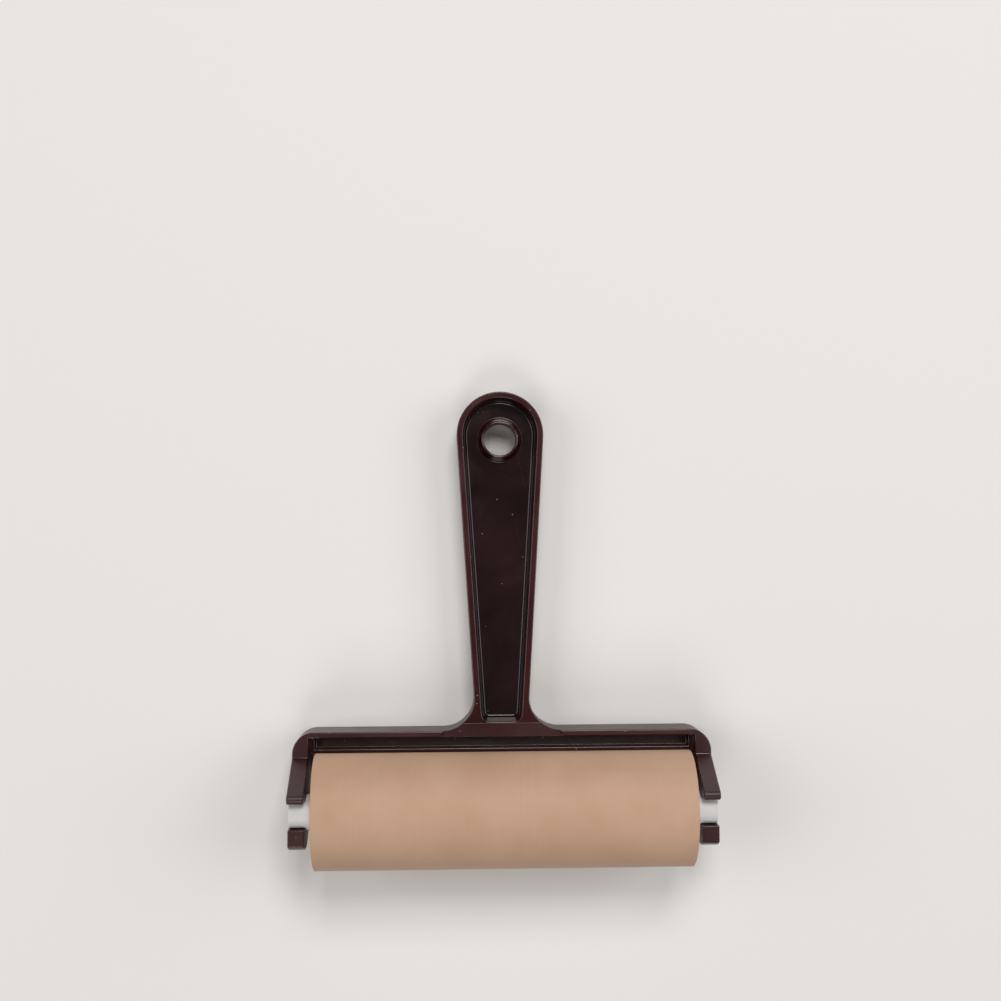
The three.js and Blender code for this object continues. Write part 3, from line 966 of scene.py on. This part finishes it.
sleeve = makeSleeve()
tube = makeTube()
rightHub = makeHub()
leftHub = copyPiece(rightHub, "leftHub")
turnAbout(leftHub, math.pi, "Z")  # end for end
rollerRows = [
    (sleeve, "rubber_sleeve", "roller_rubber"),
    (tube, "core_tube", "core_plastic"),
    (rightHub, "right_hub", "white_nylon"),
    (leftHub, "left_hub", "white_nylon"),
]
for piece, node, slot in rollerRows:
    smoothOff(piece)
    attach(piece, "roller")
    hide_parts(node)
print("roller done")


axleSizes = {
    "rodChamfer": 0.4,
    "blockRadius": 4.75,
    "keyHalf": 3.45,  # half the width across the flats that sit in a slot
    "blockEnd": 0.2,  # how far a block stops short of the arm's outside
    "playIn": 0.3,  # from the roller's end to the block's shoulder
    "playOut": 0.15,  # from the shoulder to the arm
    "rodHole": 0.06,  # wider than the rod by this, all round
    "edge": 0.28,
    "rodSteps": 64,
    "blockSteps": 60,  # so that no line between its faces meets the corner of a flat
}


def makeAxle():
    chamfer = axleSizes["rodChamfer"]
    rod = turnPiece("axleRod", (-axleHalf, 0, 0), [
        (-axleHalf, axleRadius - chamfer, 0),
        (-axleHalf + chamfer, axleRadius, 0),
        (axleHalf - chamfer, axleRadius, 0),
        (axleHalf, axleRadius - chamfer, 0),
        (axleHalf, 0, 0),
    ], axleSizes["rodSteps"])
    rod.data.materials.append(steel)
    return rod


# The right-hand axle block: a round shoulder, then a key with two flats, drilled for the rod.
def makeAxleBlock():
    a = axleSizes
    radius = a["blockRadius"]
    key = a["keyHalf"]
    shoulderIn = rollerHalf + a["playIn"]
    shoulderOut = armInner - a["playOut"]
    block = makeRound("rightAxleBlock", radius, (shoulderIn, 0, 0), (halfWidth - a["blockEnd"], 0, 0),
                      a["blockSteps"])
    # the flats and the round bottom between them are cut in one go
    far = radius + 2 * past
    flats = drawLine("flats", inSlot(shoulderOut, -key, 0), [
        ((shoulderOut, 0, 0), 180),
        inSlot(shoulderOut, key, far),
        inSlot(shoulderOut, far, far),
        inSlot(shoulderOut, far, -far),
        inSlot(shoulderOut, -far, -far),
        inSlot(shoulderOut, -far, far),
        inSlot(shoulderOut, -key, far),
        inSlot(shoulderOut, -key, 0),
    ], alongRoller)
    pullOut(x=halfWidth - shoulderOut)
    combine(block, closeUp(flats), "DIFFERENCE")
    combine(block, makeRound("drill", axleRadius + a["rodHole"], (shoulderIn - past, 0, 0),
                             (halfWidth + past, 0, 0), a["rodSteps"]), "DIFFERENCE")
    block.data.materials.clear()
    block.data.materials.append(nylon)
    roundEdges(block, a["edge"])
    return block


# The same piece for the other end, mirrored.
def mirrorPiece(piece, name):
    twin = copyPiece(piece, name)
    bpy.ops.object.mode_set(mode="EDIT")
    bpy.ops.mesh.select_all(action="SELECT")
    bpy.ops.transform.resize(value=(-1, 1, 1), center_override=axis)
    return closeUp(twin)


axleRod = makeAxle()
rightAxleBlock = makeAxleBlock()
leftAxleBlock = mirrorPiece(rightAxleBlock, "leftAxleBlock")
axleRows = [
    (axleRod, "axle", "axle_steel"),
    (rightAxleBlock, "right_axle_block", "white_nylon"),
    (leftAxleBlock, "left_axle_block", "white_nylon"),
]
for piece, node, slot in axleRows:
    smoothOff(piece)
    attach(piece, "axle")
    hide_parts(node)
print("axle done")


stageLook = {
    "floor": "ecebe9",
    "floorRoughness": 0.8,
    "floorSize": 3,  # metres
    "floorDrop": 0.02,  # millimetres below the brayer
    "sky": "ffffff",
    "skyStrength": 0.1,
    "lights": {
        # name: place in metres from the roller's axis, size in metres, watts, colour
        "softBoxTop": ((0.1, 0.7, 1.05), 0.45, 6.8, "fffaf4"),
        "softBoxFoot": ((-0.1, -0.85, 1.0), 0.5, 3.8, "fffaf4"),
        "softBoxLeft": ((-0.95, 0.1, 0.8), 0.8, 4.6, "ffffff"),
        "softBoxRight": ((0.95, 0.2, 0.8), 0.8, 5.1, "f8faff"),
    },
}


def makeFloor():
    deselectAll()
    bpy.ops.mesh.primitive_plane_add(size=stageLook["floorSize"],
                                     location=(0, 0, frameLow.z - stageLook["floorDrop"] * mm))
    floor = bpy.context.object
    floor.name = "floor"
    material, tree = newMaterial("paleCard", stageLook["floor"])
    shader = addNode(tree, "ShaderNodeBsdfPrincipled",
                     values={"Base Color": hexColour(stageLook["floor"]),
                             "Roughness": stageLook["floorRoughness"]})
    addNode(tree, "ShaderNodeOutputMaterial", links={"Surface": shader.outputs["BSDF"]})
    floor.data.materials.append(material)


def lightScene():
    world = bpy.data.worlds.new("studio")
    bpy.context.scene.world = world
    world.use_nodes = True
    tree = world.node_tree
    tree.nodes.clear()
    sky = addNode(tree, "ShaderNodeBackground",
                  values={"Color": hexColour(stageLook["sky"]), "Strength": stageLook["skyStrength"]})
    addNode(tree, "ShaderNodeOutputWorld", links={"Surface": sky.outputs["Background"]})
    for name, (place, size, watts, colour) in stageLook["lights"].items():
        light = bpy.data.lights.new(name, "AREA")
        light.size = size
        light.energy = watts
        light.color = hexColour(colour)[:3]
        lamp = bpy.data.objects.new(name, light)
        bpy.context.scene.collection.objects.link(lamp)
        lamp.location = axis + Vector(place)
        lamp.rotation_euler = (-Vector(place)).to_track_quat("-Z", "Y").to_euler()


# The view straight down on the brayer, from over the middle of its handle, a hair off square.
cameraSizes = {
    "place": (-12.85, 70.0, 410.8),  # millimetres from the roller's axis
    "turn": (1.885, -1.750, -0.379),  # degrees about X, Y and Z
    "lens": 54.42,
    "sensor": 36,
    "clipStart": 0.01,  # metres
}


def placeCamera():
    data = bpy.data.cameras.new("camera")
    data.lens = cameraSizes["lens"]
    data.sensor_width = cameraSizes["sensor"]
    data.clip_start = cameraSizes["clipStart"]
    camera = bpy.data.objects.new("camera", data)
    bpy.context.scene.collection.objects.link(camera)
    camera.location = at(*cameraSizes["place"])
    camera.rotation_mode = "ZXY"
    camera.rotation_euler = [math.radians(angle) for angle in cameraSizes["turn"]]
    bpy.context.scene.camera = camera


makeFloor()
lightScene()
placeCamera()
bpy.context.scene.view_settings.view_transform = "Standard"
print("stage ready")
